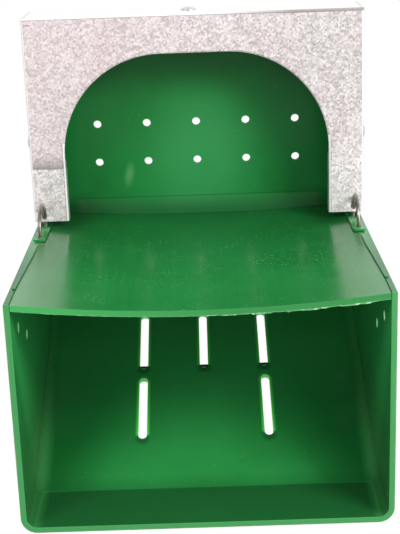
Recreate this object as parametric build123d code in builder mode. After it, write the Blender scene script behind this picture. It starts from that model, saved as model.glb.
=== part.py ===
"""Hay feeder box: a green plastic bin hung by two wire rings from a steel-fronted hood.

Millimetres. +X is to the right, +Y runs back to the wall and +Z is up. The origin is the middle of
the hood's ten fixing holes, on the hood's rear face. The bin hangs in front of it and below it.
"""

import os
from math import cos, radians, sin, sqrt, tan

from build123d import *

# --- Overall sizes ---------------------------------------------------------------------------
width = 300.0                 # over the bin's side walls
frame_overhang = 1.5          # the steel frame stands this far out past each side of the bin
bin_depth = 285.0             # from the wall to the bin's front rim
bin_height = 195.0            # of the front rim
grid_above_bin = 63.0         # from the bin's top edges up to the middle of the fixing holes

# --- Hay bin: one thin moulding, open at the front and at the top -----------------------------
bin_wall = 4.8
bin_corner_radius = 13.0      # the long lower corners, outside
bin_rim_radius = 0.6          # the broken edges of the front rim and of the walls' tops
floor_depth = 60.0            # the flat part of the floor, behind the rim
floor_slope = 24.2            # degrees, the slotted wall above level
floor_bend_radius = 6.0       # inside, where the floor turns up

slot_width = 7.5
slot_length = 73.0
slot_pitch_x = 56.0
slot_pitch_up = 84.0          # lower slots to upper slots, along the slope
first_slot_up = 92.7          # bend of the floor to the middle of the lower slots

back_rib_thickness = 3.0      # a stiffening rib across the outside of the slotted wall
back_rib_height = 4.0
back_rib_end_gap = 30.0        # from each outer side wall
back_rib_up = 147.3           # bend of the floor to the middle of the rib, along the slope

side_hole_diameter = 8.0
side_hole_places = [(37.0, 32.0), (77.5, 53.0)]   # back from the rim, down from the top edge

lip_overhang = 3.2            # the guide lips over the lid's edges
lip_thickness = 1.2
lip_rise = 1.0                # lips and tabs stand this far above the side walls
lip_start = 36.0
lip_end = 158.0
lip_taper = 90.0              # the lips run out towards the rim over this length
rail_height = 3.0             # the ledges below the lid's edges
rail_start = 14.0

# --- Lid: a separate sheet, bowed down by its own weight --------------------------------------
lid_thickness = 4.6
lid_front_sag = 8.6
lid_rear_sag = 6.5
lid_side_clearance = 0.4
lid_top_clearance = 0.3
lid_rail_clearance = 0.5
lid_rear_clearance = 0.4
lid_notch_radius = 4.0

# --- Hood: shallow moulding with its back wall against the wall -------------------------------
hood_depth = 64.6
hood_wall = 4.0
hood_corner_radius = 6.0
hood_foot_drop = 12.0         # the back wall's foot reaches this far below the bin's top edges
hood_foot_depth = 10.0
hood_crease_height = 9.0      # the foot's facet starts this far above the bin's top edges
stop_clearance = 0.3          # the bin's rear wall bears on the foot here

hole_diameter = 7.5
hole_pitch_x = 47.0
hole_pitch_z = 37.0
hole_columns = 5
hole_rows = 2

# --- Steel frame: folded galvanised sheet round the arch --------------------------------------
frame_height = 185.0
frame_above_bin = 4.5         # the legs end this far above the bin's top edges
sheet = 1.0
sheet_bend_radius = 1.6       # outside of the folds
sheet_gap = 0.2               # round the hood
frame_flange_depth = 62.0     # top and side flanges
corner_seam = 0.6             # between the top flange and each side flange
leg_width = 31.5              # each side of the arch
arch_height = 150.5
arch_corner_radius = 90.0
leg_flange_depth = 12.0       # the folded inner edges of the legs
leg_flange_taper = 8.0
leg_bend_radius = 1.6         # outside of the fold

# --- Wire rings -------------------------------------------------------------------------------
wire_diameter = 3.4
ring_radius = 21.0            # to the middle of the wire
ring_inset = 7.5              # ring's plane, inward from the bin's outer skin
ring_above_bin = 3.0          # ring centre above the bin's top edges
ring_before_frame = 17.5      # ring centre in front of the frame's face
ring_butt_gap = 0.5
ring_butt_angle = 4.0         # degrees above the ring's foremost point
ring_clearance = 0.4          # all round the wire in its holes

tab_overhang = 8.4            # the bin's corner tabs, inward from the side walls
tab_thickness = 2.2
tab_start_before_ring = 29.5  # tab's front edge to the ring's centre
tab_end_behind_ring = 13.0
tab_corner_radius = 4.0

# --- Blind rivets with large flanges ------------------------------------------------------------
rivet_shank_diameter = 4.8
rivet_head_diameter = 14.0
rivet_head_height = 2.4
rivet_rim_height = 0.8
rivet_bulb_diameter = 7.4
rivet_bulb_length = 5.0
rivet_hole_clearance = 0.1
mandrel_diameter = 2.7
mandrel_clearance = 0.03
mandrel_head_diameter = 4.4
mandrel_head_length = 2.2
mandrel_sunk = 0.5            # below the top of the rivet head
top_rivet_x = -3.5
top_rivet_behind_face = 32.0
side_rivet_behind_face = 11.5
side_rivet_above_legs = 73.0

# --- Planes and places that several pieces share ----------------------------------------------
bin_top_z = -grid_above_bin
rim_y = -bin_depth
half_width = width / 2
frame_width = width + 2 * frame_overhang
half_frame_width = frame_width / 2
inner_half_width = half_width - bin_wall
frame_face_y = -(hood_depth + sheet_gap + sheet)
leg_end_z = bin_top_z + frame_above_bin
frame_top_z = leg_end_z + frame_height
hood_top_z = frame_top_z - sheet - sheet_gap
hood_half_width = half_frame_width - sheet - sheet_gap
foot_bottom_z = bin_top_z - hood_foot_drop
tail_half_width = inner_half_width - 2 * stop_clearance
arch_width = frame_width - 2 * leg_width
ring_x = half_width - ring_inset
ring_y = frame_face_y - ring_before_frame
ring_z = bin_top_z + ring_above_bin
lid_edge_z = bin_top_z + lip_rise - lip_thickness - lid_top_clearance
slope_direction = Vector(0, cos(radians(floor_slope)), sin(radians(floor_slope)))
slope_normal = Vector(0, -sin(radians(floor_slope)), cos(radians(floor_slope)))
floor_z = bin_top_z - bin_height + bin_wall
bend_point = Vector(0, rim_y + floor_depth, floor_z)
os.makedirs("parts", exist_ok=True)


def mirrored(x_places):
    """Both signs of each x, left one first."""
    return [sign * x for x in x_places for sign in (-1, 1)]


# --- Hay bin ------------------------------------------------------------------------------------
# The side view is a wedge: a deep rim in front, a short flat floor, and a slope up to the rear wall.
# Everything is drawn at the outer skin, and the shell leaves the front and the top open.
outer_drop = bin_wall * (1 - cos(radians(floor_slope))) / sin(radians(floor_slope))
outer_bend_y = rim_y + floor_depth + outer_drop
rear_wall_foot_z = (
    bin_top_z - bin_height + (0 - outer_bend_y) * tan(radians(floor_slope))
)

with BuildPart() as hay_bin:
    with BuildSketch(Plane.YZ) as side_view:
        with BuildLine():
            Polyline(
                (rim_y, bin_top_z),
                (rim_y, bin_top_z - bin_height),
                (outer_bend_y, bin_top_z - bin_height),
                (0, rear_wall_foot_z),
                (0, bin_top_z),
                close=True,
            )
        make_face()
    extrude(amount=half_width, both=True)
    floor_bend = (
        hay_bin.edges()
        .filter_by(Axis.X)
        .filter_by(lambda e: abs(e.center().Y - outer_bend_y) < 0.01)
    )
    fillet(floor_bend, floor_bend_radius + bin_wall)
    lower_corners = hay_bin.edges().filter_by(
        lambda e: abs(abs(e.center().X) - half_width) < 0.01
        and e.center().Z < rear_wall_foot_z - 1
        and e.center().Y > rim_y + 1
        and e.center().Y < -1
    )
    fillet(lower_corners, bin_corner_radius)
    open_faces = hay_bin.faces().filter_by(
        lambda f: abs(f.center().Y - rim_y) < 0.01 or abs(f.center().Z - bin_top_z) < 0.01
    )
    offset(amount=-bin_wall, openings=open_faces)
    rim_edges = hay_bin.edges().filter_by(
        lambda e: abs(e.bounding_box().max.Y - rim_y) < 0.01 and e.length > 2 * bin_wall
    )
    fillet(rim_edges, bin_rim_radius)
    outer_top_edges = hay_bin.edges().filter_by(Axis.Y).filter_by(
        lambda e: abs(abs(e.center().X) - half_width) < 0.01 and e.center().Z > bin_top_z - 0.01
    )
    fillet(outer_top_edges, bin_rim_radius)

    # The rear wall stops under the hood's foot, which it bears on.
    with BuildSketch(Plane.XY.offset(foot_bottom_z - stop_clearance)):
        with Locations((0, -bin_wall / 2)):
            Rectangle(2 * inner_half_width, bin_wall)
    extrude(amount=hood_foot_drop + 2 * stop_clearance, mode=Mode.SUBTRACT)

    # Five slots through the slope: two below, three above.
    slot_plane = Plane(origin=bend_point, x_dir=slope_direction, z_dir=slope_normal)
    lower_slots = [(first_slot_up, x) for x in mirrored([slot_pitch_x])]
    upper_up = first_slot_up + slot_pitch_up
    upper_slots = [(upper_up, x) for x in (-slot_pitch_x, 0, slot_pitch_x)]
    with BuildSketch(slot_plane):
        with Locations(*lower_slots, *upper_slots):
            SlotOverall(slot_length, slot_width)
    extrude(amount=2 * bin_wall, both=True, mode=Mode.SUBTRACT)

    # The rib stands on the outer skin of the slope, across the feet of the upper slots.
    with BuildSketch(slot_plane.offset(-bin_wall + 0.01)):
        with Locations((back_rib_up, 0)):
            Rectangle(back_rib_thickness, width - 2 * back_rib_end_gap)
    extrude(amount=-(back_rib_height + 0.01))

    # Holes through both side walls, near the upper front corners.
    with BuildSketch(Plane.YZ):
        for back, down in side_hole_places:
            with Locations((rim_y + back, bin_top_z - down)):
                Circle(side_hole_diameter / 2)
    extrude(amount=half_width + 1, both=True, mode=Mode.SUBTRACT)

    # Guide lips over the lid's edges and rails under them, on both side walls.
    lip_bottom_z = bin_top_z + lip_rise - lip_thickness
    tab_front_y = ring_y - tab_start_before_ring
    rail_end_y = tab_front_y - tab_corner_radius
    edge_droop = 4 * lid_front_sag * lip_overhang / width
    rail_top_z = lid_edge_z - lid_thickness - edge_droop - lid_rail_clearance
    for side in (-1, 1):
        with BuildSketch(Plane.XY.offset(lip_bottom_z)):
            lip_outer = half_width - bin_wall / 2
            lip_inner = inner_half_width - lip_overhang
            with BuildLine():
                Polyline(
                    (side * lip_outer, rim_y + lip_start),
                    (side * inner_half_width, rim_y + lip_start),
                    (side * lip_inner, rim_y + lip_start + lip_taper),
                    (side * lip_inner, rim_y + lip_end),
                    (side * lip_outer, rim_y + lip_end),
                    close=True,
                )
            make_face()
        extrude(amount=lip_thickness)
        with BuildSketch(Plane.XY.offset(rail_top_z)):
            rail_length = rail_end_y - (rim_y + rail_start)
            rail_inner = inner_half_width - lip_overhang
            rail_middle_x = (half_width - bin_wall / 2 + rail_inner) / 2
            with Locations((side * rail_middle_x, rail_end_y - rail_length / 2)):
                Rectangle(half_width - bin_wall / 2 - rail_inner, rail_length)
        extrude(amount=-rail_height)

        # Corner tab, with the hole that the wire ring hangs in.
        tab_length = tab_start_before_ring + tab_end_behind_ring
        tab_inner = inner_half_width - tab_overhang
        tab_span = half_width - bin_wall / 2 - tab_inner
        tab_top_z = bin_top_z + lip_rise
        with BuildSketch(Plane.XY.offset(tab_top_z)) as tab:
            with Locations((side * (tab_inner + tab_span / 2), tab_front_y + tab_length / 2)):
                Rectangle(tab_span, tab_length)
            inner_corner = tab.vertices().sort_by(Axis.Y)[:2]
            inner_corner = inner_corner.sort_by(lambda v: abs(v.X))[0]
            fillet(inner_corner, tab_corner_radius)
        extrude(amount=-tab_thickness)

    # A drilled hole in each tab, wide enough for the wire's slant through it.
    crossing_y = [
        ring_y - sqrt(ring_radius**2 - (ring_z - z) ** 2)
        for z in (tab_top_z, tab_top_z - tab_thickness)
    ]
    tab_hole_y = sum(crossing_y) / 2
    tab_hole_radius = (wire_diameter + abs(crossing_y[1] - crossing_y[0])) / 2 + ring_clearance
    with Locations(*[(x, tab_hole_y, tab_top_z) for x in mirrored([ring_x])]):
        Hole(tab_hole_radius, depth=tab_thickness + 1)

hay_bin.part.label = "hay_bin"
export_step(hay_bin.part, "parts/hay_bin.step")

# --- Lid ----------------------------------------------------------------------------------------
# The sheet lies on the side rails and under the guide lips. It bows more at its free front edge
# than at the rear, so its two end profiles are lofted.
lid_half_width = inner_half_width - lid_side_clearance
lid_rear_y = -hood_foot_depth - lid_rear_clearance
notch_depth = lid_rear_y - (tab_front_y - tab_corner_radius)
notch_width = lid_half_width - (tab_inner - lid_side_clearance)


with BuildPart() as bin_lid:
    # Each cross-section is two parallel arcs that hang down by the sag in the middle.
    for end_y, sag in ((rim_y, lid_front_sag), (lid_rear_y, lid_rear_sag)):
        with BuildSketch(Plane.XZ.offset(-end_y)):
            with BuildLine():
                top = ThreePointArc(
                    (-lid_half_width, lid_edge_z),
                    (0, lid_edge_z - sag),
                    (lid_half_width, lid_edge_z),
                )
                bottom = ThreePointArc(
                    (-lid_half_width, lid_edge_z - lid_thickness),
                    (0, lid_edge_z - lid_thickness - sag),
                    (lid_half_width, lid_edge_z - lid_thickness),
                )
                Line(top @ 0, bottom @ 0)
                Line(top @ 1, bottom @ 1)
            make_face()
    loft()
    # Both rear corners are cut back so that the tabs and rings pass them.
    with BuildSketch(Plane.XY.offset(lid_edge_z + 1)) as notches:
        for side in (-1, 1):
            with Locations((side * (lid_half_width + 1 - (notch_width + 1) / 2),
                            lid_rear_y + 1 - (notch_depth + 1) / 2)):
                Rectangle(notch_width + 1, notch_depth + 1)
        notch_corners = notches.vertices().group_by(Axis.Y)[0].sort_by(lambda v: abs(v.X))[:2]
        fillet(notch_corners, lid_notch_radius)
    extrude(amount=-(lid_thickness + lid_front_sag + 2), mode=Mode.SUBTRACT)

bin_lid.part.label = "bin_lid"
export_step(bin_lid.part, "parts/bin_lid.step")

# --- Rivet places: on the frame's skin, z_dir outward ------------------------------------------
rivet_seats = {
    "top": Plane(
        origin=(top_rivet_x, frame_face_y + top_rivet_behind_face, frame_top_z),
        x_dir=(1, 0, 0),
        z_dir=(0, 0, 1),
    ),
    "left": Plane(
        origin=(
            -half_frame_width,
            frame_face_y + side_rivet_behind_face,
            leg_end_z + side_rivet_above_legs,
        ),
        x_dir=(0, 1, 0),
        z_dir=(-1, 0, 0),
    ),
    "right": Plane(
        origin=(
            half_frame_width,
            frame_face_y + side_rivet_behind_face,
            leg_end_z + side_rivet_above_legs,
        ),
        x_dir=(0, 1, 0),
        z_dir=(1, 0, 0),
    ),
}
rivet_hole_radius = rivet_shank_diameter / 2 + rivet_hole_clearance
rivet_grip = sheet + sheet_gap + hood_wall


# --- Hood ---------------------------------------------------------------------------------------
# A shallow shell, open in front and below. Its back wall runs on down as a foot between the bin's
# side walls, with a sloping facet above the lid.
with BuildPart() as back_hood:
    with BuildSketch(Plane.XY.offset(leg_end_z)) as plan:
        with Locations((0, -hood_depth / 2)):
            Rectangle(2 * hood_half_width, hood_depth)
        fillet(plan.vertices().group_by(Axis.Y)[-1], hood_corner_radius)
    extrude(amount=hood_top_z - leg_end_z)
    top_rear_edge = back_hood.edges().group_by(Axis.Z)[-1].sort_by(Axis.Y)[-1]
    fillet(top_rear_edge, hood_corner_radius / 2)
    open_faces = back_hood.faces().filter_by(
        lambda f: abs(f.center().Y + hood_depth) < 0.01 or abs(f.center().Z - leg_end_z) < 0.01
    )
    offset(amount=-hood_wall, openings=open_faces)

    # Foot: the facet starts at the crease and comes forward over the lid.
    crease_z = bin_top_z + hood_crease_height
    facet_bottom_z = (bin_top_z + foot_bottom_z) / 2
    with BuildSketch(Plane.YZ):
        with BuildLine():
            Polyline(
                (-hood_wall, crease_z),
                (-hood_foot_depth, facet_bottom_z),
                (-hood_foot_depth, foot_bottom_z),
                (0, foot_bottom_z),
                (0, crease_z),
                close=True,
            )
        make_face()
    extrude(amount=tail_half_width, both=True)

    # Two rows of fixing holes through the back wall.
    with BuildSketch(Plane.XZ):
        with GridLocations(hole_pitch_x, hole_pitch_z, hole_columns, hole_rows):
            Circle(hole_diameter / 2)
    extrude(amount=2 * hood_wall, both=True, mode=Mode.SUBTRACT)
    with Locations(*rivet_seats.values()):
        Hole(rivet_hole_radius, depth=rivet_grip + 2)

back_hood.part.label = "back_hood"
export_step(back_hood.part, "parts/back_hood.step")

# --- Steel frame --------------------------------------------------------------------------------
# Folded sheet: the front plate, a top flange, two side flanges and the legs' inner flanges.
with BuildPart() as front_frame:
    with BuildSketch(Plane.XZ.offset(-frame_face_y)):
        with Locations((0, (leg_end_z + frame_top_z) / 2)):
            Rectangle(frame_width, frame_height)
    extrude(amount=-frame_flange_depth)
    folds = front_frame.edges().filter_by(
        lambda e: abs(e.center().Y - frame_face_y) < 0.01 and e.center().Z > leg_end_z + 1
    )
    fillet(folds, sheet_bend_radius)
    open_faces = front_frame.faces().filter_by(
        lambda f: abs(f.center().Y - frame_face_y - frame_flange_depth) < 0.01
        or abs(f.center().Z - leg_end_z) < 0.01
    )
    offset(amount=-sheet, openings=open_faces)

    # The arch: straight sides and two large round upper corners.
    with BuildSketch(Plane.XZ.offset(-frame_face_y + 1)) as arch:
        with Locations((0, leg_end_z + arch_height / 2)):
            Rectangle(arch_width, arch_height)
        fillet(arch.vertices().group_by(Axis.Y)[-1], arch_corner_radius)
    extrude(amount=-(sheet + 2), mode=Mode.SUBTRACT)

    # The legs' inner edges are folded back, with a slanted upper end.
    flange_top_z = leg_end_z + arch_height - arch_corner_radius
    for side in (-1, 1):
        with BuildSketch(Plane.YZ.offset(side * arch_width / 2)):
            with BuildLine():
                Polyline(
                    (frame_face_y, leg_end_z),
                    (frame_face_y, flange_top_z),
                    (frame_face_y + leg_flange_depth, flange_top_z - leg_flange_taper),
                    (frame_face_y + leg_flange_depth, leg_end_z),
                    close=True,
                )
            make_face()
        extrude(amount=side * sheet)
    fold_insides = front_frame.edges().filter_by(Axis.Z).filter_by(
        lambda e: abs(abs(e.center().X) - arch_width / 2 - sheet) < 0.01
        and abs(e.center().Y - frame_face_y - sheet) < 0.01
    )
    fillet(fold_insides, leg_bend_radius - sheet)
    leg_folds = front_frame.edges().filter_by(Axis.Z).filter_by(
        lambda e: abs(abs(e.center().X) - arch_width / 2) < 0.01
        and abs(e.center().Y - frame_face_y) < 0.01
    )
    fillet(leg_folds, leg_bend_radius)

    # Oblong holes near the leg ends, where the rings pass the plate.
    inner_reach = ring_radius - wire_diameter / 2 - ring_clearance
    outer_reach = ring_radius + wire_diameter / 2 + ring_clearance
    hole_low_z = ring_z + sqrt(inner_reach**2 - (ring_before_frame + sheet) ** 2)
    hole_high_z = ring_z + sqrt(outer_reach**2 - ring_before_frame**2)
    with BuildSketch(Plane.XZ.offset(-frame_face_y + 1)):
        with Locations(*[(x, (hole_low_z + hole_high_z) / 2) for x in mirrored([ring_x])]):
            SlotOverall(
                hole_high_z - hole_low_z + ring_clearance,
                wire_diameter + 2 * ring_clearance,
                rotation=90,
            )
    extrude(amount=-(sheet + 2), mode=Mode.SUBTRACT)

    # Open seams where the top flange meets the side flanges, behind the corner fold.
    seam_start_y = frame_face_y + 2 * sheet_bend_radius
    with BuildSketch(Plane.XY.offset(frame_top_z + 1)):
        for side in (-1, 1):
            seam_middle_y = (seam_start_y + frame_face_y + frame_flange_depth + 1) / 2
            with Locations((side * (half_frame_width - sheet - corner_seam / 2), seam_middle_y)):
                Rectangle(corner_seam, frame_face_y + frame_flange_depth + 1 - seam_start_y)
    extrude(amount=-(sheet + 1 + corner_seam), mode=Mode.SUBTRACT)
    with Locations(*rivet_seats.values()):
        Hole(rivet_hole_radius, depth=rivet_grip + 2)

front_frame.part.label = "front_frame"
export_step(front_frame.part, "parts/front_frame.step")

# --- Wire rings ---------------------------------------------------------------------------------
# Each ring is a bent wire whose two ends butt together in front.
butt_turn = ring_butt_gap / ring_radius * 180 / 3.14159265
for side_name, side in (("left", -1), ("right", 1)):
    butt = radians(ring_butt_angle)
    butt_direction = Vector(0, -cos(butt), sin(butt))
    wire_end = Plane(
        origin=(side * ring_x, ring_y, ring_z),
        x_dir=butt_direction,
        z_dir=butt_direction.cross(Vector(1, 0, 0)),
    )
    with BuildPart() as ring:
        with BuildSketch(wire_end):
            with Locations((ring_radius, 0)):
                Circle(wire_diameter / 2)
        revolve(
            axis=Axis((side * ring_x, ring_y, ring_z), (1, 0, 0)),
            revolution_arc=360 - butt_turn,
        )
    ring.part.label = f"ring_{side_name}"
    export_step(ring.part, f"parts/ring_{side_name}.step")

# --- Blind rivets and their mandrels ------------------------------------------------------------
# A rivet is a flanged tube: its inner end is spread into a bulb by the mandrel's head, which stays
# behind it when the stem snaps off just below the top of the flange.
for place, seat in rivet_seats.items():
    profile = Plane(origin=seat.origin, x_dir=seat.x_dir, z_dir=-seat.y_dir)
    spin_axis = Axis(seat.origin, seat.z_dir)
    bore = mandrel_diameter / 2 + mandrel_clearance
    shank = rivet_shank_diameter / 2
    head = rivet_head_diameter / 2
    bulb = rivet_bulb_diameter / 2
    bulb_top = -rivet_grip - rivet_hole_clearance
    bulb_end = bulb_top - rivet_bulb_length
    with BuildPart() as rivet:
        with BuildSketch(profile):
            with BuildLine():
                Polyline(
                    (bore, bulb_end),
                    (bore, rivet_head_height),
                    (shank, rivet_head_height),
                )
                Polyline(
                    (shank, rivet_head_height),
                    ((shank + head) / 2, rivet_head_height * 0.8),
                    (head, rivet_rim_height),
                    (head, 0),
                    (shank, 0),
                    (shank, bulb_top),
                    (bulb, bulb_top - rivet_bulb_length * 0.35),
                    (bulb, bulb_top - rivet_bulb_length * 0.65),
                    (shank, bulb_end),
                    (bore, bulb_end),
                )
            make_face()
        revolve(axis=spin_axis)
    rivet.part.label = f"rivet_{place}"
    export_step(rivet.part, f"parts/rivet_{place}.step")

    stem = mandrel_diameter / 2
    pin_head = mandrel_head_diameter / 2
    with BuildPart() as mandrel:
        with BuildSketch(profile):
            with BuildLine():
                Polyline(
                    (0, rivet_head_height - mandrel_sunk),
                    (stem, rivet_head_height - mandrel_sunk),
                    (stem, bulb_end),
                    (pin_head, bulb_end),
                    (pin_head, bulb_end - mandrel_head_length / 2),
                )
                Polyline(
                    (pin_head, bulb_end - mandrel_head_length / 2),
                    (pin_head / 2, bulb_end - mandrel_head_length),
                    (0, bulb_end - mandrel_head_length),
                    (0, rivet_head_height - mandrel_sunk),
                )
            make_face()
        revolve(axis=spin_axis)
    mandrel.part.label = f"mandrel_{place}"
    export_step(mandrel.part, f"parts/mandrel_{place}.step")
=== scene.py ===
"""Hay feeder box: a green polypropylene bin with its own lid, hung by two wire rings from a hood.

The hood is a shallow green moulding behind an arched front of folded galvanised sheet. Metres, in
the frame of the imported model: +X to the right, +Y back to the wall, +Z up.
"""

import math
import random

import bmesh
import bpy
from mathutils import Matrix, Vector


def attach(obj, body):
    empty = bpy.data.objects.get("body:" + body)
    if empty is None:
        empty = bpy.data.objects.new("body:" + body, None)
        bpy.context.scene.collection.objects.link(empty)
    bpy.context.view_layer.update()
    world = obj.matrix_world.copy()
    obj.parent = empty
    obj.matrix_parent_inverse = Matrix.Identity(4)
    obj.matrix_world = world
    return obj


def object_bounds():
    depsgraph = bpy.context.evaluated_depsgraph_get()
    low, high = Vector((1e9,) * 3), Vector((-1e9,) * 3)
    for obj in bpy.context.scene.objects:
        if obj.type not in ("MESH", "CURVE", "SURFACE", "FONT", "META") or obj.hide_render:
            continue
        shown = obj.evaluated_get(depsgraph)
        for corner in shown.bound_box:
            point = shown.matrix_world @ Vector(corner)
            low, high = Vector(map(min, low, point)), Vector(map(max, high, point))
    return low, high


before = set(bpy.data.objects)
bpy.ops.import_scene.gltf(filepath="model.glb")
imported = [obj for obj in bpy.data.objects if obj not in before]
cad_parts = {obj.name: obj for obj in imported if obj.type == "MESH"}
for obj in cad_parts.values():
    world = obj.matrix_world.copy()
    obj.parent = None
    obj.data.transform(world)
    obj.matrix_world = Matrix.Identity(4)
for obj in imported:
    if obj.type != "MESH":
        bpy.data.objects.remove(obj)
cad_low, cad_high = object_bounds()


# --- Hay bin ------------------------------------------------------------------------------------
# A wedge in green polypropylene, open at the front and the top, moulded in one piece with five
# slots through its sloping back. The front rim is trimmed after moulding, and two tabs on the top
# corners take the wire rings that it hangs by.
def colour(code):
    """An sRGB hex colour, turned to the linear values that a shader reads."""
    channels = [int(code[i : i + 2], 16) / 255 for i in (0, 2, 4)]
    linear = [c / 12.92 if c <= 0.04045 else ((c + 0.055) / 1.055) ** 2.4 for c in channels]
    return (*linear, 1.0)


def add(tree, kind, settings=None, out=0, **links):
    """Add a node with its settings, link or set its inputs, and return one of its outputs.

    An input is named, with _ for a space, or numbered, as in i0. Out is the output's number or name.
    """
    node = tree.nodes.new(kind)
    for name, value in (settings or {}).items():
        setattr(node, name, value)
    for name, value in links.items():
        key = int(name[1:]) if name[0] == "i" and name[1:].isdigit() else name.replace("_", " ")
        if isinstance(value, bpy.types.NodeSocket):
            tree.links.new(value, node.inputs[key])
        else:
            node.inputs[key].default_value = value
    return node.outputs[out]


def new_finish(name):
    """An empty material with its surface shader. Returns the material, its tree and the shader."""
    finish = bpy.data.materials.new(name)
    finish.use_nodes = True
    return finish, finish.node_tree, finish.node_tree.nodes["Principled BSDF"]


def wear(thing, finish):
    """Give a piece one finish all over."""
    thing.data.materials.clear()
    thing.data.materials.append(finish)


# The nodes that the finishes are made of, and the settings that they take.
COORDS, TURNED, BUMP = "ShaderNodeTexCoord", "ShaderNodeMapping", "ShaderNodeBump"
SPLIT, JOINED, CHANNEL = "ShaderNodeSeparateXYZ", "ShaderNodeCombineXYZ", "ShaderNodeSeparateColor"
NOISE, CELLS, RAMP = "ShaderNodeTexNoise", "ShaderNodeTexVoronoi", "ShaderNodeMapRange"
MATH, VMATH, MIX = "ShaderNodeMath", "ShaderNodeVectorMath", "ShaderNodeMix"
RGBA, FLOAT = {"data_type": "RGBA"}, {"data_type": "FLOAT"}
PLUS, MINUS, TIMES = {"operation": "ADD"}, {"operation": "SUBTRACT"}, {"operation": "MULTIPLY"}
LESS, MORE, NEAR = {"operation": "LESS_THAN"}, {"operation": "GREATER_THAN"}, {"operation": "COMPARE"}
LARGER, SMALLER, SIZE_OF = {"operation": "MAXIMUM"}, {"operation": "MINIMUM"}, {"operation": "ABSOLUTE"}
LENGTH, TIMES_PLUS = {"operation": "LENGTH"}, {"operation": "MULTIPLY_ADD"}
SMOOTH = {"interpolation_type": "SMOOTHSTEP"}

PLASTIC_IOR = 1.49
# A painted glow for daylight through a thin cut edge, hay dust on the skin, and a trimmed edge.
PAINTED_GLOW_GREEN, DUST_GREEN, RIM_GREEN = "65FF60", "8FCB98", "3A8E4C"
# How many of each fit in a metre: clouds of 60 mm, specks 2.4 mm apart in patches of 26 mm, smears
# of 40 mm, waves of 30 mm and a mould grain of 0.6 mm.
CLOUDS, SPECKS, SPECK_PATCHES, SMEARS, WAVES, MOULD_GRAINS = 16.0, 420.0, 38.0, 26.0, 32.0, 1800.0
SPECK_RADIUS = 0.24  # of the space between two specks
WAVE_DEEP, MOULD_GRAIN_DEEP = 0.0016, 0.00012


def polypropylene(name, deep, pale, speck_share, wave, touch):
    """Glossy green polypropylene. Touch adds this piece's own marks, with any painted light and shade,
    to the tone and the gloss.
    """
    finish, tree, surface = new_finish(name)
    place = add(tree, COORDS, out="Object")
    # The pigment is cloudy.
    clouds = add(tree, NOISE, Vector=place, Scale=CLOUDS, Detail=3.0)
    tone = add(tree, MIX, RGBA, out=2, i0=clouds, i6=colour(deep), i7=colour(pale))
    # Dust and nicks of a millimetre, paler than the skin, gather in patches.
    dots = {"Vector": place, "Scale": SPECKS, "Randomness": 1.0}
    near = add(tree, MATH, LESS, i0=add(tree, CELLS, out="Distance", **dots), i1=SPECK_RADIUS)
    lot = add(tree, CHANNEL, Color=add(tree, CELLS, out="Color", **dots))
    speck = add(tree, MATH, TIMES, i0=near, i1=add(tree, MATH, LESS, i0=lot, i1=speck_share))
    patches = add(tree, NOISE, Vector=place, Scale=SPECK_PATCHES, Detail=2.0)
    gathered = add(tree, RAMP, Value=patches, From_Min=0.45, From_Max=0.62, To_Max=0.3)
    specks = add(tree, MATH, TIMES, i0=speck, i1=gathered)
    tone = add(tree, MIX, RGBA, out=2, i0=specks, i6=tone, i7=colour(DUST_GREEN))
    # The gloss varies with handling.
    smears = add(tree, NOISE, Vector=place, Scale=SMEARS, Detail=5.0, Roughness=0.6)
    gloss = add(tree, RAMP, Value=smears, From_Min=0.3, From_Max=0.7, To_Min=0.12, To_Max=0.21)
    tone, gloss = touch(tree, place, tone, gloss)
    # The skin waves a little, and has the fine grain of its mould.
    waves = add(tree, NOISE, Vector=place, Scale=WAVES, Detail=1.0)
    grain = add(tree, NOISE, Vector=place, Scale=MOULD_GRAINS, Detail=2.0)
    wavy = add(tree, BUMP, Strength=wave, Distance=WAVE_DEEP, Height=waves)
    grained = add(tree, BUMP, Strength=0.12, Distance=MOULD_GRAIN_DEEP, Height=grain, Normal=wavy)
    tree.links.new(tone, surface.inputs["Base Color"])
    tree.links.new(gloss, surface.inputs["Roughness"])
    tree.links.new(grained, surface.inputs["Normal"])
    surface.inputs["IOR"].default_value = PLASTIC_IOR
    return finish


BIN_HALF_WIDTH, BIN_BASE_Z = 0.150, -0.258
IN_WALL_X = 0.1465  # between the two faces of a side wall
LIP_UNDERSIDE_Z = -0.0680
RIM_BACK_Y = -0.2844
FLOOR_TOP_Z = -0.2530
# The slope's own axes start at the floor's bend: its turn, and the bend's place after that turn.
SLOPE_TURN = math.radians(-24.2)
BEND_PLACE = (0.0, 0.30902, 0.13872)
# Slots: from side to side, the lower row's middle, from row to row, and half of a slot's length
# between the centres of its round ends. The rib lies across the upper row's lower ends.
SLOT_PITCH, SLOT_ROW_UP, SLOT_PITCH_UP = 0.056, 0.0927, 0.084
SLOT_HALF_RUN, SLOT_RADIUS = 0.03275, 0.00375
RIB_UP, RIB_HALF_WIDTH = 0.1473, 0.0025
# Heights over the slope's inner skin: the middle of the slots' cut edges, and the rib's foot.
CUT_OVER, RIB_FOOT_OVER = -0.0019, -0.0051
SIDE_HOLES = ((-0.2480, -0.0950), (-0.2075, -0.1160))
RIM_DIRT = 90.0  # in a metre: patches of 11 mm


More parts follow.
